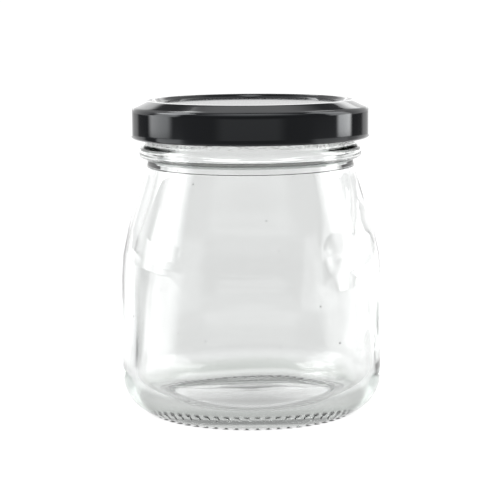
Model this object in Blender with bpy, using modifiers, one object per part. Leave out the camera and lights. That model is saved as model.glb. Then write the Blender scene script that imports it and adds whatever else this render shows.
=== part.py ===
"""Glass pudding jar with a twist-off lid.

The jar is one turned hollow of pressed glass: a knurled bearing ring with a shallow push-up,
a rounded heel, a straight belly, a sloping shoulder, a round bead and a finish with four
interrupted threads. The lid is one cap of pressed sheet: a recessed panel inside a raised crest,
a sloped rim, a plain skirt, a rolled curl and four lugs that hook under the threads.
Its underside carries the soft ring that seals on the rim of the glass.

Z is up, the jar's axis is Z, and the jar stands on the plane Z = 0. Front is -Y.
"""

import math

import bmesh
import bpy
from mathutils import Matrix, Vector

MM = 0.001

# Turning
SEGMENTS = 60

# Belly, heel and bearing ring of the glass
BELLY_RADIUS = 36.75 * MM
BELLY_TOP_Z = 37.0 * MM
HEEL_RADIUS = 11.0 * MM
HEEL_TOP_Z = 10.4 * MM
HEEL_FOOT_Z = 1.1 * MM
BEARING_OUTER_RADIUS = 28.7 * MM
BEARING_INNER_RADIUS = 24.6 * MM
BEARING_Z = 0.5 * MM

# Push-up under the base
PUSH_UP_EDGE_RADIUS = 22.9 * MM
PUSH_UP_EDGE_Z = 1.5 * MM
PUSH_UP_CENTRE_Z = 2.3 * MM

# Knurls on the bearing ring, one over each facet of the turning
KNURL_COUNT = 60
KNURL_RING_RADIUS = 26.75 * MM
KNURL_ROOT_RADIUS = 0.95 * MM
KNURL_TIP_RADIUS = 0.62 * MM
KNURL_SIDES = 8
KNURL_SINK = 0.3 * MM

# Shoulder and neck
SHOULDER_BEND_RADIUS = 54.0 * MM
SHOULDER_SLOPE = math.radians(16.2)
NECK_RADIUS = 29.6 * MM
NECK_TOP_Z = 70.9 * MM

# Bead under the lid
BEAD_Z = 73.3 * MM
BEAD_HALF_HEIGHT = 2.4 * MM
BEAD_REACH = 1.7 * MM

# Finish: the wall that carries the threads, and the rim that seals
FINISH_RADIUS = 29.75 * MM
RIM_TOP_Z = 86.2 * MM
RIM_OUTER_ROUND = 0.9 * MM
RIM_INNER_ROUND = 1.1 * MM

# Inside of the glass
WALL = 3.8 * MM
BORE_RADIUS = 26.2 * MM
INSIDE_HEEL_RADIUS = 8.0 * MM
INSIDE_BOTTOM_Z = 4.4 * MM
INSIDE_CENTRE_Z = 5.1 * MM

# Threads on the finish
THREAD_COUNT = 4
THREAD_SWEEP = math.radians(62)
THREAD_TAIL_Z = 81.6 * MM
THREAD_RISE = 2.0 * MM
THREAD_RADIUS = 1.15 * MM
THREAD_POINTS = 9
THREAD_END_SCALE = 0.45

# Lid
LID_SHEET = 0.4 * MM
LID_TOP_Z = 88.2 * MM
LID_CREST_INNER_RADIUS = 27.9 * MM
LID_CREST_OUTER_RADIUS = 29.2 * MM
LID_PANEL_RADIUS = 25.4 * MM
LID_PANEL_DROP = 1.5 * MM
LID_WALL_TOP_RADIUS = 27.0 * MM
LID_SLOPE_FOOT_RADIUS = 32.1 * MM
LID_SLOPE_DROP = 1.35 * MM
LID_SKIRT_RADIUS = 33.5 * MM
LID_SHOULDER_DROP = 3.1 * MM
LID_BOTTOM_Z = 77.9 * MM
CURL_RADIUS = 1.05 * MM
CURL_CENTRE_RADIUS = 32.35 * MM

# Soft sealing ring on the lid's underside, part of the lid
SEAL_INNER_RADIUS = 27.3 * MM
SEAL_OUTER_RADIUS = 30.3 * MM
SEAL_BOTTOM_Z = 86.5 * MM

# Lugs of the lid: inward folds of the curl
LUG_COUNT = 4
LUG_TURN = math.radians(45)
LUG_LENGTH = 9.0 * MM
LUG_HEIGHT = 1.5 * MM
LUG_INNER_RADIUS = 30.75 * MM
LUG_DEPTH = 1.5 * MM
LUG_CENTRE_Z = 79.2 * MM
LUG_ROUND = 0.35 * MM

MERGE = 0.00001


def clear_scene():
    """Removes whatever objects the open file holds."""
    for obj in list(bpy.data.objects):
        bpy.data.objects.remove(obj, do_unlink=True)


def new_collection(name):
    collection = bpy.data.collections.new(name)
    bpy.context.scene.collection.children.link(collection)
    return collection


def arc(centre, radius, start, end, count, radius_z=None):
    """Points (r, z) on an arc in the profile plane; angles in radians from +r towards +z."""
    tall = radius if radius_z is None else radius_z
    steps = [start + (end - start) * i / (count - 1) for i in range(count)]
    return [(centre[0] + radius * math.cos(a), centre[1] + tall * math.sin(a)) for a in steps]


def turned(name, profile, collection):
    """A solid of revolution about Z from a profile that runs down its outer side."""
    mesh = bpy.data.meshes.new(name)
    points = [(r, 0.0, z) for r, z in profile]
    edges = [(i, i + 1) for i in range(len(points) - 1)]
    mesh.from_pydata(points, edges, [])
    obj = bpy.data.objects.new(name, mesh)
    collection.objects.link(obj)
    screw = obj.modifiers.new("Turn", "SCREW")
    screw.axis = "Z"
    screw.angle = math.tau
    screw.steps = SEGMENTS
    screw.render_steps = SEGMENTS
    screw.use_merge_vertices = True
    screw.merge_threshold = MERGE
    screw.use_smooth_shade = True
    return obj


def applied(obj):
    """Replaces the object's mesh by the evaluated one and drops its modifiers."""
    depsgraph = bpy.context.evaluated_depsgraph_get()
    mesh = bpy.data.meshes.new_from_object(obj.evaluated_get(depsgraph))
    obj.modifiers.clear()
    obj.data = mesh
    return obj


def join_all(obj, pieces):
    """Unites the pieces of a collection with the object, then removes them."""
    union = obj.modifiers.new("Join", "BOOLEAN")
    union.operation = "UNION"
    union.operand_type = "COLLECTION"
    union.collection = pieces
    union.solver = "EXACT"
    applied(obj)
    for piece in list(pieces.objects):
        bpy.data.objects.remove(piece, do_unlink=True)
    return obj


def smooth_shaded(obj, angle_degrees=35):
    obj.data.shade_smooth()
    obj.data.set_sharp_from_angle(angle=math.radians(angle_degrees))


def material(name, colour, roughness, metallic=0.0, transmission=0.0):
    mat = bpy.data.materials.new(name)
    mat.use_nodes = True
    shader = mat.node_tree.nodes["Principled BSDF"]
    shader.inputs["Base Color"].default_value = (*colour, 1.0)
    shader.inputs["Roughness"].default_value = roughness
    shader.inputs["Metallic"].default_value = metallic
    shader.inputs["Transmission Weight"].default_value = transmission
    mat.diffuse_color = (*colour, 1.0)
    return mat


def shoulder_points(inset, count):
    """The bend from the belly into the shoulder's slope, bottom to top, moved in by the inset."""
    radius = BELLY_RADIUS - inset
    bend = arc((radius - SHOULDER_BEND_RADIUS, BELLY_TOP_Z), SHOULDER_BEND_RADIUS, 0.0, SHOULDER_SLOPE, count)
    return bend


def slope_height(bend_top, radius):
    """The height at which the shoulder's straight slope reaches the given radius."""
    return bend_top[1] + (bend_top[0] - radius) / math.tan(SHOULDER_SLOPE)


def inside_profile():
    """The hollow's outline from the middle of its floor up to the bore."""
    wall_radius = BELLY_RADIUS - WALL
    corner = (wall_radius - INSIDE_HEEL_RADIUS, INSIDE_BOTTOM_Z + INSIDE_HEEL_RADIUS)
    points = [(0.0, INSIDE_CENTRE_Z), (0.5 * corner[0], 0.6 * INSIDE_CENTRE_Z + 0.4 * INSIDE_BOTTOM_Z)]
    points += arc(corner, INSIDE_HEEL_RADIUS, -0.5 * math.pi, 0.0, 6)
    bend = shoulder_points(WALL, 4)
    points += bend
    points.append((BORE_RADIUS, slope_height(bend[-1], BORE_RADIUS)))
    return points


def rim_profile():
    """Over the rim, from the bore to the outside of the finish."""
    inner = (BORE_RADIUS + RIM_INNER_ROUND, RIM_TOP_Z - RIM_INNER_ROUND)
    outer = (FINISH_RADIUS - RIM_OUTER_ROUND, RIM_TOP_Z - RIM_OUTER_ROUND)
    points = arc(inner, RIM_INNER_ROUND, math.pi, 0.5 * math.pi, 4)
    points += arc(outer, RIM_OUTER_ROUND, 0.5 * math.pi, 0.0, 4)
    return points


def outside_profile():
    """From the top of the bead down the outside to the middle of the push-up."""
    points = arc((FINISH_RADIUS - 0.2 * MM, BEAD_Z), BEAD_REACH, 0.48 * math.pi, -0.48 * math.pi, 8, BEAD_HALF_HEIGHT)
    bend = shoulder_points(0.0, 5)
    points.append((NECK_RADIUS, slope_height(bend[-1], NECK_RADIUS)))
    points += reversed(bend)
    foot = -math.asin((HEEL_TOP_Z - HEEL_FOOT_Z) / HEEL_RADIUS)
    points += arc((BELLY_RADIUS - HEEL_RADIUS, HEEL_TOP_Z), HEEL_RADIUS, 0.0, foot, 7)
    points.append((BEARING_OUTER_RADIUS, BEARING_Z))
    points.append((BEARING_INNER_RADIUS, BEARING_Z))
    points.append((PUSH_UP_EDGE_RADIUS, PUSH_UP_EDGE_Z))
    points.append((0.5 * PUSH_UP_EDGE_RADIUS, 0.75 * PUSH_UP_CENTRE_Z + 0.25 * PUSH_UP_EDGE_Z))
    points.append((0.0, PUSH_UP_CENTRE_Z))
    return points


def add_knurls(pieces):
    """Small blunt cones round the bearing ring; the jar stands on their flat tips."""
    height = BEARING_Z + KNURL_SINK
    base = bmesh.new()
    bmesh.ops.create_cone(
        base,
        cap_ends=True,
        segments=KNURL_SIDES,
        radius1=KNURL_TIP_RADIUS,
        radius2=KNURL_ROOT_RADIUS,
        depth=height,
        matrix=Matrix.Translation((0.0, 0.0, 0.5 * height)),
    )
    mesh = bpy.data.meshes.new("knurl")
    base.to_mesh(mesh)
    base.free()
    for i in range(KNURL_COUNT):
        angle = math.tau * (i + 0.5) / KNURL_COUNT
        knurl = bpy.data.objects.new("knurl", mesh)
        knurl.location = (KNURL_RING_RADIUS * math.cos(angle), KNURL_RING_RADIUS * math.sin(angle), 0.0)
        knurl.rotation_euler = (0.0, 0.0, angle)
        pieces.objects.link(knurl)


def curve_as_mesh(curve, name, pieces):
    """Turns a bevelled curve into a closed mesh object and removes the curve."""
    depsgraph = bpy.context.evaluated_depsgraph_get()
    mesh = bpy.data.meshes.new_from_object(curve.evaluated_get(depsgraph))
    work = bmesh.new()
    work.from_mesh(mesh)
    bmesh.ops.remove_doubles(work, verts=work.verts, dist=MERGE)
    work.to_mesh(mesh)
    work.free()
    obj = bpy.data.objects.new(name, mesh)
    obj.matrix_world = curve.matrix_world
    pieces.objects.link(obj)
    bpy.data.objects.remove(curve, do_unlink=True)
    return obj


def add_threads(pieces):
    """Interrupted threads: short ridges that climb round the finish, thinner at both ends."""
    for i in range(THREAD_COUNT):
        start = LUG_TURN + math.tau * i / THREAD_COUNT - 0.25 * THREAD_SWEEP
        data = bpy.data.curves.new("thread", "CURVE")
        data.dimensions = "3D"
        data.bevel_depth = THREAD_RADIUS
        data.bevel_resolution = 1
        data.use_fill_caps = True
        spline = data.splines.new("POLY")
        spline.points.add(THREAD_POINTS - 1)
        for k, point in enumerate(spline.points):
            share = k / (THREAD_POINTS - 1)
            angle = start + THREAD_SWEEP * share
            height = THREAD_TAIL_Z + THREAD_RISE * share
            point.co = (FINISH_RADIUS * math.cos(angle), FINISH_RADIUS * math.sin(angle), height, 1.0)
            point.radius = THREAD_END_SCALE + (1.0 - THREAD_END_SCALE) * math.sin(math.pi * share) ** 0.5
        curve = bpy.data.objects.new("thread", data)
        pieces.objects.link(curve)
        curve_as_mesh(curve, "thread_ridge", pieces)


def make_jar(parts, glass):
    profile = inside_profile() + rim_profile() + outside_profile()
    jar = turned("jar_glass", profile, parts)
    applied(jar)
    pieces = new_collection("jar_pieces")
    add_knurls(pieces)
    add_threads(pieces)
    join_all(jar, pieces)
    bpy.data.collections.remove(pieces)
    jar.data.materials.clear()
    jar.data.materials.append(glass)
    smooth_shaded(jar)
    return jar


def lid_outer_profile():
    """The lid's upper face from its middle out over the crest and down the skirt to the curl."""
    panel_z = LID_TOP_Z - LID_PANEL_DROP
    shoulder = LID_SKIRT_RADIUS - LID_SLOPE_FOOT_RADIUS
    shoulder_z = LID_TOP_Z - LID_SHOULDER_DROP
    points = [(0.0, panel_z), (LID_PANEL_RADIUS, panel_z)]
    points.append((LID_WALL_TOP_RADIUS, LID_TOP_Z - 0.3 * MM))
    points.append((LID_CREST_INNER_RADIUS, LID_TOP_Z))
    points.append((LID_CREST_OUTER_RADIUS, LID_TOP_Z))
    points.append((LID_CREST_OUTER_RADIUS + 1.0 * MM, LID_TOP_Z - 0.35 * MM))
    rise = LID_SHOULDER_DROP - LID_SLOPE_DROP
    points += arc((LID_SLOPE_FOOT_RADIUS, shoulder_z), shoulder, 0.42 * math.pi, 0.0, 5, rise)
    return points


def lid_curl_profile():
    """The rolled curl, from the outside of the skirt round to its inner face."""
    centre = (CURL_CENTRE_RADIUS, LID_BOTTOM_Z + CURL_RADIUS)
    points = [(LID_SKIRT_RADIUS, centre[1] + 1.3 * MM)]
    points += arc(centre, CURL_RADIUS, 0.0, -math.pi, 7)
    points.append((CURL_CENTRE_RADIUS - CURL_RADIUS + 0.25 * MM, centre[1] + 0.7 * MM))
    points.append((LID_SKIRT_RADIUS - LID_SHEET - 0.1 * MM, centre[1] + CURL_RADIUS + 0.2 * MM))
    return points


def lid_inner_profile():
    """The lid's underside, from the inside of the skirt over the soft ring to the middle."""
    inner = LID_SKIRT_RADIUS - LID_SHEET
    shoulder_z = LID_TOP_Z - LID_SHOULDER_DROP
    panel_z = LID_TOP_Z - LID_PANEL_DROP - LID_SHEET
    rise = LID_SHOULDER_DROP - LID_SLOPE_DROP - LID_SHEET
    points = arc((LID_SLOPE_FOOT_RADIUS, shoulder_z), inner - LID_SLOPE_FOOT_RADIUS, 0.0, 0.42 * math.pi, 4, rise)
    points.append((SEAL_OUTER_RADIUS, SEAL_BOTTOM_Z + 0.2 * MM))
    points.append((SEAL_OUTER_RADIUS - 0.3 * MM, SEAL_BOTTOM_Z))
    points.append((SEAL_INNER_RADIUS, SEAL_BOTTOM_Z))
    points.append((SEAL_INNER_RADIUS - 0.5 * MM, SEAL_BOTTOM_Z + 0.35 * MM))
    points.append((LID_PANEL_RADIUS + 0.2 * MM, panel_z))
    points.append((0.0, panel_z))
    return points


def add_lugs(pieces):
    """Rounded blocks on the inside of the curl."""
    for i in range(LUG_COUNT):
        angle = LUG_TURN + math.tau * i / LUG_COUNT
        work = bmesh.new()
        bmesh.ops.create_cube(work, size=1.0)
        bmesh.ops.scale(work, vec=Vector((LUG_DEPTH, LUG_LENGTH, LUG_HEIGHT)), verts=work.verts)
        bmesh.ops.bevel(work, geom=work.edges[:], offset=LUG_ROUND, segments=1, affect="EDGES")
        mesh = bpy.data.meshes.new("lug")
        work.to_mesh(mesh)
        work.free()
        lug = bpy.data.objects.new("lug", mesh)
        reach = LUG_INNER_RADIUS + 0.5 * LUG_DEPTH
        lug.location = (reach * math.cos(angle), reach * math.sin(angle), LUG_CENTRE_Z)
        lug.rotation_euler = (0.0, 0.0, angle)
        pieces.objects.link(lug)


def make_lid(parts, enamel):
    profile = lid_outer_profile() + lid_curl_profile() + lid_inner_profile()
    lid = turned("lid", profile, parts)
    applied(lid)
    pieces = new_collection("lid_pieces")
    add_lugs(pieces)
    join_all(lid, pieces)
    bpy.data.collections.remove(pieces)
    lid.data.materials.clear()
    lid.data.materials.append(enamel)
    smooth_shaded(lid)
    return lid


def main():
    clear_scene()
    parts = new_collection("pudding_jar")
    glass = material("clear_glass", (0.93, 0.96, 0.95), 0.02, transmission=1.0)
    enamel = material("black_enamel", (0.012, 0.013, 0.015), 0.12)
    make_jar(parts, glass)
    make_lid(parts, enamel)


main()
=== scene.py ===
# %% [markdown]
# # A glass pudding jar with a twist-off lid
#
# This notebook dresses a small empty jar of clear pressed glass, shut with a black enamelled lid.
# The solids that the jar needs for weight, contact and rest are already made, in real metres, and
# arrive as a fixed frame. What is left is everything the eye judges: the smooth run of the glass,
# the knurls it stands on, the threads under the lid, the roll of the sheet metal, and the studio
# that makes clear glass visible at all.

# %% Load the frame
import math

import bpy
from mathutils import Matrix, Vector


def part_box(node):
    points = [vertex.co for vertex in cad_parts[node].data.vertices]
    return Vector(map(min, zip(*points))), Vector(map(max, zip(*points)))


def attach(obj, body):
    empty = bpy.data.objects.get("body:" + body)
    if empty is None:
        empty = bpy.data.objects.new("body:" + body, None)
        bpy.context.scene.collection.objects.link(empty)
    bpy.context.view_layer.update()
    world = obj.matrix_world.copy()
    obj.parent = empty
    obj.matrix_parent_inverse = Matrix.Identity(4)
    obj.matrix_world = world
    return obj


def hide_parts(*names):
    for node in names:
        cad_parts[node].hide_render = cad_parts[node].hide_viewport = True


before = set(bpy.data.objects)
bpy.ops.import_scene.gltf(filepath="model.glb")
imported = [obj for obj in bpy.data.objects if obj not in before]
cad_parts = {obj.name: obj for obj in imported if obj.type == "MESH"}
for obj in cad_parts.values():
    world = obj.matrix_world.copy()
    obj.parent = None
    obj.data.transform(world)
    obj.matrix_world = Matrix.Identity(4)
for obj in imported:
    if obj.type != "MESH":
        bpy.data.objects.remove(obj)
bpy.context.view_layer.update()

# %% [markdown]
# ## Sizes
#
# A notebook that measures its frame never has to be fitted to it. The outside radius of the
# belly, the height of the rim and the top and foot of the lid are read from the boxes of the two
# solids. Only the sizes that a box can't give are written here, as real millimetres.

# %% Sizes from the frame and sizes of the details
MM = 0.001

_, glass_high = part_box("jar_glass")
lid_low, lid_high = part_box("lid")
BELLY_RADIUS = glass_high.x
RIM_Z = glass_high.z
LID_RADIUS = lid_high.x
LID_TOP_Z = lid_high.z
LID_FOOT_Z = lid_low.z

WALL = 3.8 * MM
BORE_RADIUS = 26.2 * MM
BORE_FOOT_Z = 69.0 * MM
FINISH_RADIUS = 29.75 * MM
NECK_RADIUS = 29.6 * MM
SHOULDER_SLOPE = math.radians(16.2)
NECK_FOOT_Z = 69.6 * MM
FLOOR_Z = 3.75 * MM
BEARING_Z = 0.5 * MM
print(f"belly {BELLY_RADIUS / MM:.2f} mm, rim at {RIM_Z / MM:.2f} mm, lid top at {LID_TOP_Z / MM:.2f} mm")

# %% [markdown]
# ## Turned shapes
#
# Jar and lid are both shapes of revolution, so each starts as one line in the plane of the axis.
# A draughtsman draws such a line with straight strokes and then rounds every corner with a
# compass. The helper below does the same: it takes corners with a fillet radius and returns the
# rounded line. Rounding by tangent arcs keeps the surface's direction continuous, and on glass
# that matters more than anything else, because every kink bends the light behind it.
#
# Each corner also carries a tag for the stretch that follows it. The tag travels with the mesh
# as an attribute, so that later steps can tell the inside of a wall from the outside.

# %% Rounded outlines
ARC_STEP = math.radians(9)


def fillet(before, corner, after, radius):
    """Points of the arc that rounds a corner, or the corner itself where the radius is nil."""
    a = (before - corner).normalized()
    b = (after - corner).normalized()
    half = 0.5 * a.angle(b)
    if radius <= 0 or half > 0.499 * math.pi:
        return [corner]
    reach = radius / math.tan(half)
    centre = corner + (a + b).normalized() * (radius / math.sin(half))
    start, end = corner + a * reach - centre, corner + b * reach - centre
    turn = start.angle(end)
    count = max(3, math.ceil(turn / ARC_STEP) + 1)
    points = []
    for i in range(count):
        share = i / (count - 1)
        mix = start * math.sin((1 - share) * turn) + end * math.sin(share * turn)
        points.append(centre + mix / math.sin(turn))
    return points


def outline(corners):
    """Rounded line through corners (r, z, fillet radius, spacing, tag), as a list of (point, tag)."""
    rounded = []
    for i, (r, z, radius, spacing, tag) in enumerate(corners):
        corner = Vector((r, z))
        if 0 < i < len(corners) - 1:
            before, after = Vector(corners[i - 1][:2]), Vector(corners[i + 1][:2])
            rounded += [(point, spacing, tag) for point in fillet(before, corner, after, radius)]
        else:
            rounded.append((corner, spacing, tag))
    line = [(rounded[0][0], rounded[0][2])]
    for (start, spacing, tag), (end, _, next_tag) in zip(rounded, rounded[1:]):
        pieces = max(1, math.ceil((end - start).length / spacing))
        line += [(start.lerp(end, k / pieces), tag) for k in range(1, pieces)]
        line.append((end, next_tag))
    return line


# %% Turning an outline about the Z axis
def turned(name, line, steps):
    """Spins an outline into a smooth closed mesh whose vertices keep their tag as 'side'."""
    mesh = bpy.data.meshes.new(name)
    mesh.from_pydata([(p.x, 0.0, p.y) for p, _ in line], [(i, i + 1) for i in range(len(line) - 1)], [])
    side = mesh.attributes.new("side", "FLOAT", "POINT")
    side.data.foreach_set("value", [float(tag) for _, tag in line])
    obj = bpy.data.objects.new(name, mesh)
    bpy.context.scene.collection.objects.link(obj)
    screw = obj.modifiers.new("Turn", "SCREW")
    screw.axis = "Z"
    screw.steps = screw.render_steps = steps
    screw.use_merge_vertices = True
    screw.merge_threshold = 0.000001
    screw.use_smooth_shade = True
    return obj


def as_plain_mesh(obj):
    """Swaps an object's mesh for the evaluated one and drops the modifiers."""
    evaluated = obj.evaluated_get(bpy.context.evaluated_depsgraph_get())
    mesh = bpy.data.meshes.new_from_object(evaluated)
    obj.modifiers.clear()
    obj.data = mesh
    mesh.name = obj.name
    return obj


# %% [markdown]
# ## Writing nodes as expressions
#
# The relief on the meshes, the finish of the materials and the light of the studio are all sums
# of small rules, and node trees for sums are slow to read. One class wraps a socket so that
# ordinary arithmetic writes the Math nodes. Every other node comes from its one method `node`.

# %% A socket that can do sums
class Wire:
    """A node tree's socket: arithmetic on it adds Math nodes, and node() adds any other."""

    def __init__(self, tree, socket=None):
        self.tree = tree
        self.socket = socket

    def node(self, kind, settings=None, inputs=None, out=0):
        made = self.tree.nodes.new(kind)
        for key, value in (settings or {}).items():
            setattr(made, key, value)
        for key, value in (inputs or {}).items():
            if isinstance(value, Wire):
                self.tree.links.new(value.socket, made.inputs[key])
            else:
                made.inputs[key].default_value = value
        return Wire(self.tree, made.outputs[out])

    def compute(self, operation, *values):
        """A Math node on the given values."""
        return self.node("ShaderNodeMath", {"operation": operation}, dict(enumerate(values)))

    def math(self, operation, *others):
        """A Math node whose first value is this socket."""
        return self.compute(operation, self, *others)

    def __add__(self, other):
        return self.math("ADD", other)

    def __radd__(self, other):
        return self.compute("ADD", other, self)

    def __sub__(self, other):
        return self.math("SUBTRACT", other)

    def __rsub__(self, other):
        return self.compute("SUBTRACT", other, self)

    def __mul__(self, other):
        return self.math("MULTIPLY", other)

    def __truediv__(self, other):
        return self.math("DIVIDE", other)

    def __rtruediv__(self, other):
        return self.compute("DIVIDE", other, self)

    def __pow__(self, other):
        return self.math("POWER", other)

    def __neg__(self):
        return self.math("MULTIPLY", -1.0)

    def xyz(self):
        """The three components of this vector, each as a wire."""
        split = self.node("ShaderNodeSeparateXYZ", None, {"Vector": self})
        return [Wire(self.tree, split.socket.node.outputs[i]) for i in range(3)]

    def ramp(self, low, high):
        """0 below low, 1 above high and a smooth step between them; high may be the smaller."""
        inputs = {"Value": self, "From Min": low, "From Max": high}
        return self.node("ShaderNodeMapRange", {"interpolation_type": "SMOOTHSTEP"}, inputs)

    def band(self, start, full, fades, end):
        """1 between full and fades, 0 outside start and end, and smooth steps between them."""
        return self.ramp(start, full) * self.ramp(end, fades)


# %% [markdown]
# ## Relief by Geometry Nodes
#
# Knurls, threads and lugs repeat round the axis, so each is a rule in the angle and needs no
# modelling by hand. The tree reads a point's angle, radius and height, works out how far each
# feature pushes it, and moves it once. Feature sizes are named inputs of the tree, so another jar
# is a matter of other numbers. A Boolean union would also work, but it leaves hard seams at the
# foot of each knurl, and pressed glass has none.

# %% A relief tree with named inputs
def relief_tree(name, inputs):
    """A geometry tree with the named number inputs; returns it with its wires."""
    tree = bpy.data.node_groups.new(name, "GeometryNodeTree")
    tree.is_modifier = True
    tree.interface.new_socket("Geometry", in_out="INPUT", socket_type="NodeSocketGeometry")
    tree.interface.new_socket("Geometry", in_out="OUTPUT", socket_type="NodeSocketGeometry")
    for key in inputs:
        tree.interface.new_socket(key, in_out="INPUT", socket_type="NodeSocketFloat")
    group = tree.nodes.new("NodeGroupInput")
    wires = {key: Wire(tree, group.outputs[key]) for key in ["Geometry", *inputs]}
    return tree, wires


def polar(tree):
    """Wires for a point's place, and for its angle, radius, height, x and y."""
    start = Wire(tree)
    place = start.node("GeometryNodeInputPosition")
    x, y, z = place.xyz()
    radius = (x * x + y * y) ** 0.5
    return {"angle": y.math("ARCTAN2", x), "radius": radius, "z": z, "x": x, "y": y, "place": place}


def side_tag(tree):
    """Wire for the tag that the outline's corners gave to the stretch a point is on."""
    return Wire(tree).node("GeometryNodeInputNamedAttribute", {"data_type": "FLOAT"}, {"Name": "side"})


def finish_tree(tree, geometry, materials):
    """Realises what is instanced, sets each material where its mask says, and ends the tree."""
    out = geometry.node("GeometryNodeRealizeInstances", None, {"Geometry": geometry})
    for mat, mask in materials:
        inputs = {"Geometry": out, "Material": mat}
        if mask is not None:
            inputs["Selection"] = mask
        out = out.node("GeometryNodeSetMaterial", None, inputs)
    end = tree.nodes.new("NodeGroupOutput")
    tree.links.new(out.socket, end.inputs["Geometry"])


def add_relief(obj, tree, values):
    """Puts the tree on the object as a modifier with its inputs set."""
    modifier = obj.modifiers.new(tree.name, "NODES")
    modifier.node_group = tree
    for item in tree.interface.items_tree:
        if item.item_type == "SOCKET" and item.in_out == "INPUT" and item.name in values:
            modifier[item.identifier] = float(values[item.name])


def pushed(geometry, at, outward, lift):
    """Moves every point away from the axis by outward and up by lift."""
    safe = at["radius"].math("MAXIMUM", 0.0001)
    x, y = at["x"] / safe * outward, at["y"] / safe * outward
    offset = geometry.node("ShaderNodeCombineXYZ", None, {"X": x, "Y": y, "Z": lift})
    return geometry.node("GeometryNodeSetPosition", None, {"Geometry": geometry, "Offset": offset})


# %% [markdown]
# ## The glass material
#
# Clear glass is almost nothing but its edges: it shows by what it bends and mirrors. A Principled
# shader with full transmission and the index of soda-lime glass gives both. White glass still
# takes a little light at every pass and is faintly green where it is thick, which is what makes
# a heavy base look heavy, so the body also absorbs a little on the way through.

# %% Glass
GLASS_INDEX = 1.52
GLASS_TINT = (0.862, 0.865, 0.864, 1.0)
GLASS_DEPTH_TINT = (0.40, 0.50, 0.45, 1.0)
GLASS_DEPTH_DENSITY = 12.0


def new_material(name):
    """A node material with its Principled shader; returns material, shader node and a wire."""
    mat = bpy.data.materials.new(name)
    mat.use_nodes = True
    shader = mat.node_tree.nodes["Principled BSDF"]
    return mat, shader, Wire(mat.node_tree)


glass, shader, wire = new_material("clear_pressed_glass")
shader.inputs["Base Color"].default_value = GLASS_TINT
shader.inputs["Roughness"].default_value = 0.0
shader.inputs["IOR"].default_value = GLASS_INDEX
shader.inputs["Transmission Weight"].default_value = 1.0
absorption = {"Color": GLASS_DEPTH_TINT, "Density": GLASS_DEPTH_DENSITY}
depth = wire.node("ShaderNodeVolumeAbsorption", None, absorption)
glass.node_tree.links.new(depth.socket, glass.node_tree.nodes["Material Output"].inputs["Volume"])
print("made", glass.name, "with index", GLASS_INDEX)

# %% [markdown]
# The glass carries dark specks, taken as seeds and dust, and two painted shades: the heel is
# greyer, and the crease under the bead holds a dark line. Specks could be scattered as tiny
# meshes, but a cell pattern does it in the shader: each cell draws a size by chance, and most draw
# nil. The painted shades of heel and crease are masks in height and radius. All three are mixed
# over the clear tint, one after the other. That tint is darker than real glass, since it was set
# by the greys of the photo.

# %% Specks, and painted shade at heel and crease
SPECK_SPACING = 4.6 * MM
SPECK_RADIUS = 0.36 * MM
SPECK_EMPTY_SHARE = 0.66
SPECK_TINT = (0.10, 0.10, 0.10, 1.0)
# painted shade: grey over the heel of the glass
HEEL_PAINTED_SHADE = (0.62, 0.64, 0.62, 1.0)
# painted shade: a dark line in the crease under the bead
CREASE_PAINTED_SHADE = (0.22, 0.24, 0.23, 1.0)


def tinted(base, mask, colour):
    """Mixes a colour over the base where the mask is 1."""
    return mask.node("ShaderNodeMix", {"data_type": "RGBA"}, {0: mask, 6: base, 7: colour}, 2)


place = wire.node("ShaderNodeTexCoord", None, None, "Object")
cells = {"Vector": place, "Scale": 1 / SPECK_SPACING}
speck = place.node("ShaderNodeTexVoronoi", {"feature": "F1"}, cells)
chance = place.node("ShaderNodeTexVoronoi", {"feature": "F1"}, cells, "Color")
chance = chance.node("ShaderNodeSeparateColor", None, {"Color": chance})
size = chance.ramp(SPECK_EMPTY_SHARE, 1.0) * SPECK_RADIUS / SPECK_SPACING
dark = (size - speck).ramp(0.0, 0.006)

x, y, height = place.xyz()
radius = (x * x + y * y) ** 0.5
# painted shade mask: darker glass low at the heel
heel_painted_shade = height.ramp(8.5 * MM, 5.0 * MM) * radius.ramp(28.2 * MM, 29.6 * MM)
# painted shade mask: the crease under the bead
crease_painted_shade = height.band(70.9 * MM, 71.3 * MM, 72.2 * MM, 72.7 * MM)
crease_painted_shade = crease_painted_shade * radius.band(28.6 * MM, 28.9 * MM, 30.4 * MM, 31.0 * MM)

# painted shade of the heel, then of the crease, then the dark specks, each over the tint before
tint = tinted(GLASS_TINT, heel_painted_shade, HEEL_PAINTED_SHADE)
tint = tinted(tint, crease_painted_shade, CREASE_PAINTED_SHADE)
tint = tinted(tint, dark, SPECK_TINT)
glass.node_tree.links.new(tint.socket, shader.inputs["Base Color"])
print(f"specks up to {2 * SPECK_RADIUS / MM:.2f} mm across, one cell each {SPECK_SPACING / MM:.1f} mm")

# %% [markdown]
# The finish meets the cold mould first and freezes finely wrinkled, while the blowing smooths
# the belly once more. A bump from fine noise is enough for wrinkles this small, as they never
# reach the outline.

# %% Wrinkles of the finish
WRINKLE_SIZE = 0.8 * MM
WRINKLE_DEPTH = 0.40 * MM
WRINKLE_FOOT_Z = 75.4 * MM
WRINKLE_FULL_Z = 76.4 * MM

wrinkle = place.node("ShaderNodeTexNoise", None, {"Vector": place, "Scale": 1 / WRINKLE_SIZE, "Detail": 3.0})
wrinkle = wrinkle * height.ramp(WRINKLE_FOOT_Z, WRINKLE_FULL_Z) * WRINKLE_DEPTH
bump = wrinkle.node("ShaderNodeBump", None, {"Height": wrinkle, "Strength": 1.0, "Distance": 1.0})
glass.node_tree.links.new(bump.socket, shader.inputs["Normal"])
print(glass.name, "has", len(glass.node_tree.nodes), "nodes")

# %% [markdown]
# ## The jar
#
# The real jar is pressed and blown in a mould. Its outside is as true as the mould, while the
# inside only follows it, so the inner wall wanders by a few tenths of a millimetre. That is why
# the edge of the hollow looks wavy in clear glass. The outline runs from the middle of the
# hollow's floor, up the inside, over the rim, down the outside and back under the base.
#
# Points stand close where the line bends or carries relief and far apart elsewhere. Together
# with the steps of a turn, that keeps each piece under 200,000 triangles.

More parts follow.
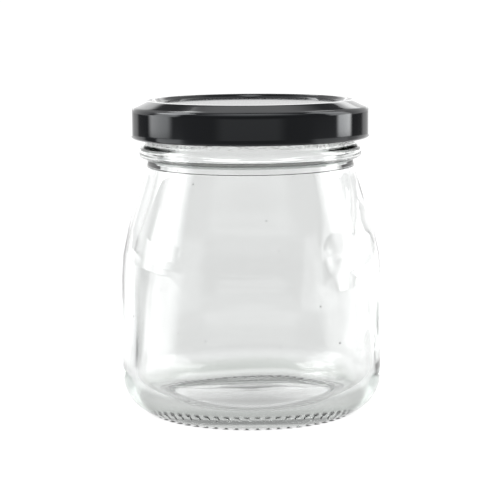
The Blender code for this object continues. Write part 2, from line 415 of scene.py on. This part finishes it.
# %% Outline of the glass
INSIDE, OUTSIDE = 1, 0
belly_inside = BELLY_RADIUS - WALL
slope = math.tan(SHOULDER_SLOPE)
shoulder_z = NECK_FOOT_Z - (BELLY_RADIUS - NECK_RADIUS) / slope

COARSE, MEDIUM, FINE = 2.6 * MM, 0.9 * MM, 0.50 * MM
glass_corners = [
    (0.0, FLOOR_Z + 0.55 * MM, 0.0, COARSE, INSIDE),
    (12.0 * MM, FLOOR_Z + 0.35 * MM, 30.0 * MM, COARSE, INSIDE),
    (23.6 * MM, FLOOR_Z + 0.02 * MM, 0.2 * MM, FINE, INSIDE),
    (23.9 * MM, FLOOR_Z + 0.14 * MM, 0.2 * MM, FINE, INSIDE),
    (24.2 * MM, FLOOR_Z + 0.03 * MM, 0.2 * MM, COARSE, INSIDE),
    (belly_inside, FLOOR_Z + 0.02 * MM, 8.6 * MM, COARSE, INSIDE),
    (belly_inside, shoulder_z, 52.0 * MM, COARSE, INSIDE),
    (BORE_RADIUS + 0.3 * MM, BORE_FOOT_Z, 0.25 * MM, FINE, INSIDE),
    (BORE_RADIUS, BORE_FOOT_Z + 0.3 * MM, 0.2 * MM, COARSE, INSIDE),
    (BORE_RADIUS, RIM_Z, 1.2 * MM, COARSE, INSIDE),
    (FINISH_RADIUS, RIM_Z, 1.0 * MM, FINE, OUTSIDE),
    (FINISH_RADIUS, 76.1 * MM, 0.5 * MM, FINE, OUTSIDE),
    (31.22 * MM, 75.1 * MM, 1.3 * MM, FINE, OUTSIDE),
    (31.22 * MM, 72.5 * MM, 1.15 * MM, FINE, OUTSIDE),
    (NECK_RADIUS - 0.45 * MM, 71.75 * MM, 0.2 * MM, FINE, OUTSIDE),
    (NECK_RADIUS - 0.35 * MM, 71.0 * MM, 0.3 * MM, FINE, OUTSIDE),
    (NECK_RADIUS, NECK_FOOT_Z, 3.0 * MM, COARSE, OUTSIDE),
    (BELLY_RADIUS, shoulder_z, 54.0 * MM, COARSE, OUTSIDE),
    (BELLY_RADIUS, 2.2 * MM, 9.8 * MM, MEDIUM, OUTSIDE),
    (28.7 * MM, BEARING_Z, 1.2 * MM, FINE, OUTSIDE),
    (24.6 * MM, BEARING_Z, 1.0 * MM, FINE, OUTSIDE),
    (22.9 * MM, 1.5 * MM, 1.6 * MM, COARSE, OUTSIDE),
    (0.0, 2.3 * MM, 0.0, COARSE, OUTSIDE),
]
glass_line = outline(glass_corners)
print(len(glass_line), "points on the outline of the glass")

# %% [markdown]
# The relief of the glass has four rules: knurls on the bearing ring, interrupted threads on the
# finish, a wander of the inner wall, and the faint ridge that the two halves of the mould leave
# on the bead. A knurl is a blunt oval, and a thread is a half-round that climbs as it turns. The
# wander is slow all round, with a quicker one on the right, where the photo's jar is uneven.

# %% Sizes of the relief of the glass
glass_inputs = {
    "Knurl Count": 60,
    "Knurl Ring": 27.1 * MM,
    "Knurl Width": 1.05 * MM,
    "Knurl Length": 1.25 * MM,
    "Knurl Height": BEARING_Z,
    "Thread Count": 4,
    "Thread Start": 45 - 15.5,
    "Thread Sweep": 62 / 90,
    "Thread Tail": 81.6 * MM,
    "Thread Rise": 2.0 * MM,
    "Thread Half Height": 1.3 * MM,
    "Thread Reach": 1.15 * MM,
    "Wander": 0.30 * MM,
    "Wander Size": 26.0 * MM,
    "Right Wander": 0.9 * MM,
    "Right Wander Size": 13.0 * MM,
    "Seam Angle": -112.0,
    "Seam Ring": 31.22 * MM,
    "Seam Half Width": 0.4032 * MM,
    "Seam Reach": 0.07 * MM,
}
tree, pin = relief_tree("glass_relief", glass_inputs)
at = polar(tree)
turn = at["angle"] / math.tau
is_outside = 1 - side_tag(tree).ramp(0.4, 0.6)
print(tree.name, "has the inputs", ", ".join(glass_inputs))

# %% Knurls
# The distance from the nearest knurl's middle, along the ring and across it
phase = (turn * pin["Knurl Count"]).math("FRACT") - 0.5
along = phase * math.tau * pin["Knurl Ring"] / pin["Knurl Count"] / pin["Knurl Width"]
across = (at["radius"] - pin["Knurl Ring"]) / pin["Knurl Length"]
away = (along * along + across * across) ** 0.5
near_floor = at["z"].ramp(2.4 * MM, 1.6 * MM)
knurl = away.ramp(1.0, 0.45) * near_floor * pin["Knurl Height"]

# %% Threads
# Each climbs from its tail as the angle grows, and is thinner at both ends
spin = turn - pin["Thread Start"] / 360
share = (spin * pin["Thread Count"]).math("FRACT") / pin["Thread Sweep"]
ends = share.band(0.0, 0.12, 0.8, 1.0)
high = (at["z"] - pin["Thread Tail"] - share * pin["Thread Rise"]) / pin["Thread Half Height"]
dome = (1 - high * high).math("MAXIMUM", 0.0) ** 0.75
thread = dome * ends * pin["Thread Reach"] * is_outside

# %% Wander of the inner wall and ridge of the seam
SQUAT = (1.0, 1.0, 0.75)
place = at["place"].node("ShaderNodeVectorMath", {"operation": "MULTIPLY"}, {0: at["place"], 1: SQUAT})


def noise(size, detail):
    """Noise around nil, between about -1 and 1, whose lumps have the given size."""
    inputs = {"Vector": place, "Scale": 1 / size, "Detail": detail}
    return (place.node("ShaderNodeTexNoise", None, inputs) - 0.5) * 2


wall_only = at["z"].band(9 * MM, 22 * MM, 62 * MM, 74 * MM) * (1 - is_outside)
right_only = at["x"].ramp(5 * MM, 26 * MM)
slow = noise(pin["Wander Size"], 0.0) * pin["Wander"]
quick = noise(pin["Right Wander Size"], 0.5) * pin["Right Wander"] * right_only
wander = (slow + quick) * wall_only

bend = (turn - pin["Seam Angle"] / 360) * 2
phase = (bend + 0.5).math("FRACT") - 0.5
across = phase * math.pi * pin["Seam Ring"] / pin["Seam Half Width"]
seam = (1 - across * across).math("MAXIMUM", 0.0) * pin["Seam Reach"]
above_neck = at["z"].ramp(70 * MM, 71 * MM)
seam = seam * above_neck * is_outside

moved = pushed(pin["Geometry"], at, thread + wander + seam, -knurl)
finish_tree(tree, moved, [(glass, None)])
print("relief tree", tree.name, "has", len(tree.nodes), "nodes")

# %% The jar as one plain mesh
STEPS_PER_KNURL = 7
JAR_STEPS = STEPS_PER_KNURL * glass_inputs["Knurl Count"]
jar = turned("clear_jar", glass_line, JAR_STEPS)
add_relief(jar, tree, glass_inputs)
as_plain_mesh(jar)
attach(jar, "root")
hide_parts("jar_glass")
print(jar.name, len(jar.data.polygons), "faces")

# %% [markdown]
# ## The lid
#
# A twist-off lid is drawn from one disc of tinplate. The panel in the middle is sunk, so that
# lids stack and the vacuum can pull it down; a raised crest round it hides the channel for the
# sealing ring; the rim slopes away to a plain skirt, and the raw edge is rolled into a curl.
# Four short folds of the curl are the lugs that run under the threads. The outside is sprayed
# with black enamel and the inside with a pale lacquer, and a soft pale ring lies in the channel.

# %% Outline of the lid
ENAMEL, LACQUER, SEAL = 0, 1, 2
SHEET = 0.24 * MM
skirt = LID_RADIUS
panel_z = LID_TOP_Z - 0.88 * MM
foot_z = LID_FOOT_Z - 0.25 * MM

lid_corners = [
    (0.0, panel_z, 0.0, COARSE, ENAMEL),
    (26.3 * MM, panel_z, 0.35 * MM, FINE, ENAMEL),
    (27.2 * MM, LID_TOP_Z + 0.03 * MM, 0.75 * MM, FINE, ENAMEL),
    (28.9 * MM, LID_TOP_Z, 1.6 * MM, MEDIUM, ENAMEL),
    (skirt, LID_TOP_Z - 2.1 * MM, 1.7 * MM, MEDIUM, ENAMEL),
    (skirt, foot_z, 0.85 * MM, FINE, ENAMEL),
    (skirt - 2.15 * MM, foot_z, 0.75 * MM, FINE, ENAMEL),
    (skirt - 2.15 * MM, LID_FOOT_Z + 2.2 * MM, 0.9 * MM, FINE, ENAMEL),
    (skirt - SHEET, LID_FOOT_Z + 2.6 * MM, 0.4 * MM, COARSE, LACQUER),
    (skirt - SHEET, LID_TOP_Z - 2.25 * MM - 0.5 * SHEET, 2.1 * MM, MEDIUM, LACQUER),
    (30.9 * MM, LID_TOP_Z - 1.15 * MM, 0.2 * MM, FINE, SEAL),
    (30.5 * MM, RIM_Z + 0.3 * MM, 0.5 * MM, FINE, SEAL),
    (27.4 * MM, RIM_Z + 0.3 * MM, 0.5 * MM, FINE, SEAL),
    (26.95 * MM, RIM_Z + 0.9 * MM, 0.2 * MM, FINE, LACQUER),
    (26.5 * MM, panel_z - SHEET, 0.4 * MM, FINE, LACQUER),
    (0.0, panel_z - SHEET, 0.0, COARSE, LACQUER),
]
lid_line = outline(lid_corners)
print(len(lid_line), "points on the outline of the lid")

# %% Lid materials
enamel, shader, _ = new_material("black_gloss_enamel")
shader.inputs["Base Color"].default_value = (0.0030, 0.0033, 0.0042, 1.0)
shader.inputs["Roughness"].default_value = 0.07
shader.inputs["IOR"].default_value = 1.38
shader.inputs["Specular Tint"].default_value = (0.93, 0.97, 1.0, 1.0)

lacquer, shader, _ = new_material("pale_lacquer")
shader.inputs["Base Color"].default_value = (0.62, 0.62, 0.60, 1.0)
shader.inputs["Roughness"].default_value = 0.3

seal_mat, shader, _ = new_material("soft_sealing_ring")
shader.inputs["Base Color"].default_value = (0.66, 0.66, 0.64, 1.0)
shader.inputs["Roughness"].default_value = 0.55
print("made", enamel.name, lacquer.name, seal_mat.name)

# %% [markdown]
# The lugs are the lid's only relief: a window in the angle, four times round, pushes the inner
# side of the curl towards the axis. Bending a strip for each would give the same shape with a
# seam at both ends.

# %% Relief of the lid
lid_inputs = {
    "Lug Count": 4,
    "Lug Start": 45.0,
    "Lug Length": 10.5 * MM,
    "Lug Reach": 0.75 * MM,
    "Lug Radius": 31.9 * MM,
}
tree, pin = relief_tree("lid_relief", lid_inputs)
at = polar(tree)
turn = at["angle"] / math.tau * pin["Lug Count"] - pin["Lug Start"] / 360 * pin["Lug Count"]
phase = (turn + 0.5).math("FRACT") - 0.5
along = phase * math.tau * pin["Lug Radius"] / pin["Lug Count"] / pin["Lug Length"] * 2
window = along.math("ABSOLUTE").ramp(1.0, 0.7)
near_foot = at["z"].ramp(81.0 * MM, 80.2 * MM)
inner_curl = at["radius"].ramp(pin["Lug Radius"] + 0.5 * MM, pin["Lug Radius"]) * near_foot
lug = window * inner_curl * pin["Lug Reach"]
moved = pushed(pin["Geometry"], at, -lug, 0.0)
side = side_tag(tree)
is_lacquer = side.ramp(0.4, 0.6)
is_seal = side.ramp(1.4, 1.6)
finish_tree(tree, moved, [(enamel, None), (lacquer, is_lacquer), (seal_mat, is_seal)])
print("relief tree", tree.name, "has", len(tree.nodes), "nodes")

# %% The lid as one plain mesh
LID_STEPS = 320
lid = turned("enamel_lid", lid_line, LID_STEPS)
add_relief(lid, tree, lid_inputs)
as_plain_mesh(lid)
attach(lid, "root")
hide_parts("lid")
print(lid.name, len(lid.data.polygons), "faces,", [m.name for m in lid.data.materials])

# %% [markdown]
# ## Studio
#
# Clear glass is lit through, not at. It shows only what it bends and mirrors, so a photographer
# lights what stands round it: a bright ground, darkness in front, and soft boxes at the sides
# whose mirror images run down the wall. Built from lamps alone, that would take a dozen cards of
# white and black paper. Here the floor and the sky glow by rules: a level, plus masks times
# changes. A mask reads the distance from the axis, the angle round it or the height above the
# horizon. Angles are in degrees from the front, positive to the right. A trial fit of zones of
# light to the photo showed which directions matter. The rules and their levels were written
# after it and corrected against renders, so they suit the photo's view best. Straight rays
# from the camera skip these changes, so the background stays plain white as in the photo.

# %% Levels by rule
def changed(level, changes):
    """A level plus each mask times its change."""
    for mask, change in changes:
        level = level + mask * change
    return level


def degrees_round(x, y):
    """Wire for the angle round the jar, nil in front and positive to the right."""
    return x.math("ARCTAN2", -y) * (180 / math.pi)


# %% Floor
FLOOR_RADIUS = 0.9
OPEN_LEVEL = 1.02

floor_mat, shader, wire = new_material("pale_floor")
shader.inputs["Base Color"].default_value = (0.04, 0.04, 0.04, 1.0)
shader.inputs["Roughness"].default_value = 0.9
shader.inputs["Specular IOR Level"].default_value = 0.0
spot = wire.node("ShaderNodeNewGeometry", None, None, "Position")
x, y, _ = spot.xyz()
away = (x * x + y * y) ** 0.5
around = degrees_round(x, y)
turned_away = around.math("ABSOLUTE")
print("made", floor_mat.name)

# %% [markdown]
# The ground that the jar covers gets less light, most of all in a ring under the foot and at the
# knurls that touch it. The camera sees these shades through the base. The open ground begins
# where the foot no longer hides it, which from the camera is a little behind the axis.

# %% Floor under the jar
KNURL_SPACING = 2.85 * MM
SPOT_RING = 28.3 * MM
SPOT_CORE = 0.5 * MM
SPOT_RIM = 1.15 * MM
OPEN_CENTRE_Y = 2.3 * MM

phase = (around * (glass_inputs["Knurl Count"] / 360)).math("FRACT") - 0.5
beside = phase.math("ABSOLUTE") * KNURL_SPACING
across = away - SPOT_RING
spots = ((beside * beside + across * across) ** 0.5).ramp(SPOT_RIM, SPOT_CORE)
dark_ring = away.band(22.6 * MM, 23.8 * MM, 26.0 * MM, 26.8 * MM)
under = changed(0.50, [(away.ramp(8 * MM, 20 * MM), 0.26), (dark_ring, -0.40)])
under = under * (1 - spots * 0.9)

behind = y - OPEN_CENTRE_Y
open_floor = ((x * x + behind * behind) ** 0.5).ramp(29.8 * MM, 31.4 * MM)
plain = under + open_floor * (OPEN_LEVEL - under)
print("spots under", glass_inputs["Knurl Count"], "knurls")

# %% Floor as the glass mirrors and bends it
far = away.ramp(0.085, 0.12)
facing = turned_away.ramp(72, 52)
floor_changes = [
    # bright close in front, for the foot of the wall, and dark further out, for the grey middle
    (away.band(0.035, 0.045, 0.066, 0.080) * facing, 0.9),
    (away.ramp(0.113, 0.125) * facing, -0.64),
    # the lower ends of the bands that the soft boxes draw, and a dark streak beside the left one
    (around.band(-101, -95, -72, -62) * far, 2.0),
    (around.band(56, 66, 100, 108) * far, 1.0),
    (around.band(-121, -116, -102, -97) * far, -0.9),
    # the outer edges of the wall
    (turned_away.band(120, 126, 150, 160) * far, 0.35),
    # behind the jar, against the painted shade of the heel, and the shade close round the foot
    (open_floor * turned_away.ramp(105, 130) * away.ramp(0.075, 0.055), 0.22),
    (open_floor * turned_away.ramp(150, 125) * away.ramp(0.039, 0.035), -0.28),
]
glow = changed(plain, floor_changes)
seen = wire.node("ShaderNodeLightPath", None, None, "Is Camera Ray")
glow = glow + seen * (plain - glow)
shader.inputs["Emission Color"].default_value = (1.0, 1.0, 1.0, 1.0)
wire.tree.links.new(glow.socket, shader.inputs["Emission Strength"])

bpy.ops.mesh.primitive_circle_add(vertices=96, radius=FLOOR_RADIUS, fill_type="NGON", location=(0, 0, 0))
floor = bpy.context.object
floor.name = "floor"
floor.data.materials.append(floor_mat)
print(floor.name, "has", len(floor_changes), "changes of level")

# %% [markdown]
# The sky has three parts: below the horizon, above it at the front and sides, and above it
# behind the jar. The last one matters most. The black lid mirrors it, each height in another
# place: the flat panel a few degrees up, the ends of the slope at 10 to 20 degrees, its middle
# at about 50.

# %% Sky of the studio
BACKGROUND_LEVEL = 1.05

world = bpy.data.worlds.new("studio")
bpy.context.scene.world = world
world.use_nodes = True
sky = Wire(world.node_tree)
x, y, z = sky.node("ShaderNodeTexCoord", None, None, "Generated").xyz()
around = degrees_round(x.math("ABSOLUTE"), y)
up = z.math("ARCSINE") * (180 / math.pi)

below = changed(0.45, [
    (around.ramp(37, 23), 0.55),
    (around.ramp(108, 116), -0.3),
    (around.ramp(132, 140), 0.75),
])
front_and_sides = changed(0.38, [
    (around.ramp(98, 104), 0.12),
    (around.ramp(111, 118), 0.7),
    # overhead in front, for the crest of the lid
    (up.ramp(30, 80) * around.ramp(80, 60), 3.4),
])
behind = changed(0.96, [
    # close under and over the stretch that the panel mirrors, for the hollow's floor
    (up.ramp(2.6, 1.4), 1.2),
    (up.ramp(4.0, 5.5), 1.39),
    (up.ramp(8, 11), -0.6),
    # the slope of the lid, from its dark ends to its middle and over it
    (up.ramp(23, 29), -1.63),
    (up.ramp(37, 53), 1.3),
    (up.ramp(68, 76), -1.2),
])
rear = around.ramp(150, 164)
level = front_and_sides + rear * (behind - front_and_sides)
level = level + up.ramp(1, -2) * (below + rear * 1.3 - level)
seen = sky.node("ShaderNodeLightPath", None, None, "Is Camera Ray")
level = level + seen * (BACKGROUND_LEVEL - level)
background = world.node_tree.nodes["Background"]
background.inputs["Color"].default_value = (1.0, 1.0, 1.0, 1.0)
world.node_tree.links.new(level.socket, background.inputs["Strength"])
print(world.name, "has", len(world.node_tree.nodes), "nodes")

# %% [markdown]
# The soft boxes stand in a ring, each given by the angles that it fills as the jar sees it, so
# that its place in the glass can be read off. A real one is brightest in the middle, so each
# fades at its sides. Each side of the jar has a stack of three, low, middle and high, because
# the lid's skirt, the wall and the shoulder mirror different heights. Three small ones at the
# back corners light the ends of the lid's slope.

# %% Soft boxes
SOFT_BOX_DISTANCE = 0.9
SOFT_EDGE = 0.25
EYE_Z = 0.04


def soft_box(name, azimuth, width, low, top, radiance):
    """An upright area light that fills the given angles as the jar sees it and fades at its sides."""
    turn = math.radians(azimuth)
    wide = 2 * SOFT_BOX_DISTANCE * math.tan(math.radians(width) / 2)
    bottom = SOFT_BOX_DISTANCE * math.tan(math.radians(low))
    tall = SOFT_BOX_DISTANCE * math.tan(math.radians(top)) - bottom
    data = bpy.data.lights.new(name, "AREA")
    data.shape = "RECTANGLE"
    data.size, data.size_y = wide, tall
    data.energy = 4 * radiance * wide * tall
    data.use_nodes = True
    across, _, _ = Wire(data.node_tree).node("ShaderNodeNewGeometry", None, None, "Parametric").xyz()
    fade = across.band(0.0, SOFT_EDGE, 1.0 - SOFT_EDGE, 1.0)
    data.node_tree.links.new(fade.socket, data.node_tree.nodes["Emission"].inputs["Strength"])
    light = bpy.data.objects.new(name, data)
    bpy.context.scene.collection.objects.link(light)
    out = Vector((math.sin(turn), -math.cos(turn), 0.0))
    light.location = out * SOFT_BOX_DISTANCE + Vector((0.0, 0.0, EYE_Z + bottom + tall / 2))
    light.rotation_euler = out.to_track_quat("Z", "Y").to_euler()
    light.visible_camera = False


# Angle round the jar, width, foot and top in degrees, and radiance
SOFT_BOXES = {
    "left_low_box": (-95, 38, -2, 8, 3.5),
    "left_box": (-88, 38, 8, 32, 3.4),
    "left_high_box": (-98, 44, 32, 60, 7.0),
    "left_back_box": (-150, 28, 46, 53, 6.5),
    "right_low_box": (100, 26, -2, 8, 6.6),
    "right_box": (96, 38, 8, 32, 3.4),
    "right_high_box": (100, 40, 32, 60, 4.0),
    "right_back_box": (150, 20, 44, 55, 2.5),
    "right_slope_box": (162, 20, 22, 32, 1.1),
}
for name, values in SOFT_BOXES.items():
    soft_box(name, *values)
print(len(SOFT_BOXES), "soft boxes")

# %% [markdown]
# ## Camera
#
# The camera stands half a metre in front of the jar and a little above its lid, with a long lens.

# %% Camera
CAMERA_DISTANCE = 0.500
CAMERA_HEIGHT = 0.1174
CAMERA_PITCH = math.radians(8.19)
CAMERA_ROLL = math.radians(0.4)
CAMERA_AIM_X = -0.0003
FOCAL_PIXELS = 1778.8
IMAGE_PIXELS = 500

data = bpy.data.cameras.new("camera")
data.sensor_width = 36.0
data.lens = data.sensor_width * FOCAL_PIXELS / IMAGE_PIXELS
data.clip_start, data.clip_end = 0.01, 50.0
camera = bpy.data.objects.new("camera", data)
bpy.context.scene.collection.objects.link(camera)
camera.location = (CAMERA_AIM_X, -CAMERA_DISTANCE, CAMERA_HEIGHT)
look = Matrix.Rotation(math.pi / 2 - CAMERA_PITCH, 4, "X") @ Matrix.Rotation(-CAMERA_ROLL, 4, "Z")
camera.rotation_euler = look.to_euler()
bpy.context.scene.camera = camera

# Light crosses many walls of glass before it reaches the camera
GLASS_BOUNCES = 24
scene = bpy.context.scene
scene.view_settings.view_transform = "Standard"
scene.cycles.max_bounces = GLASS_BOUNCES
scene.cycles.transmission_bounces = GLASS_BOUNCES
scene.cycles.glossy_bounces = GLASS_BOUNCES // 2
print(f"lens {data.lens:.1f} mm at {CAMERA_DISTANCE} m")
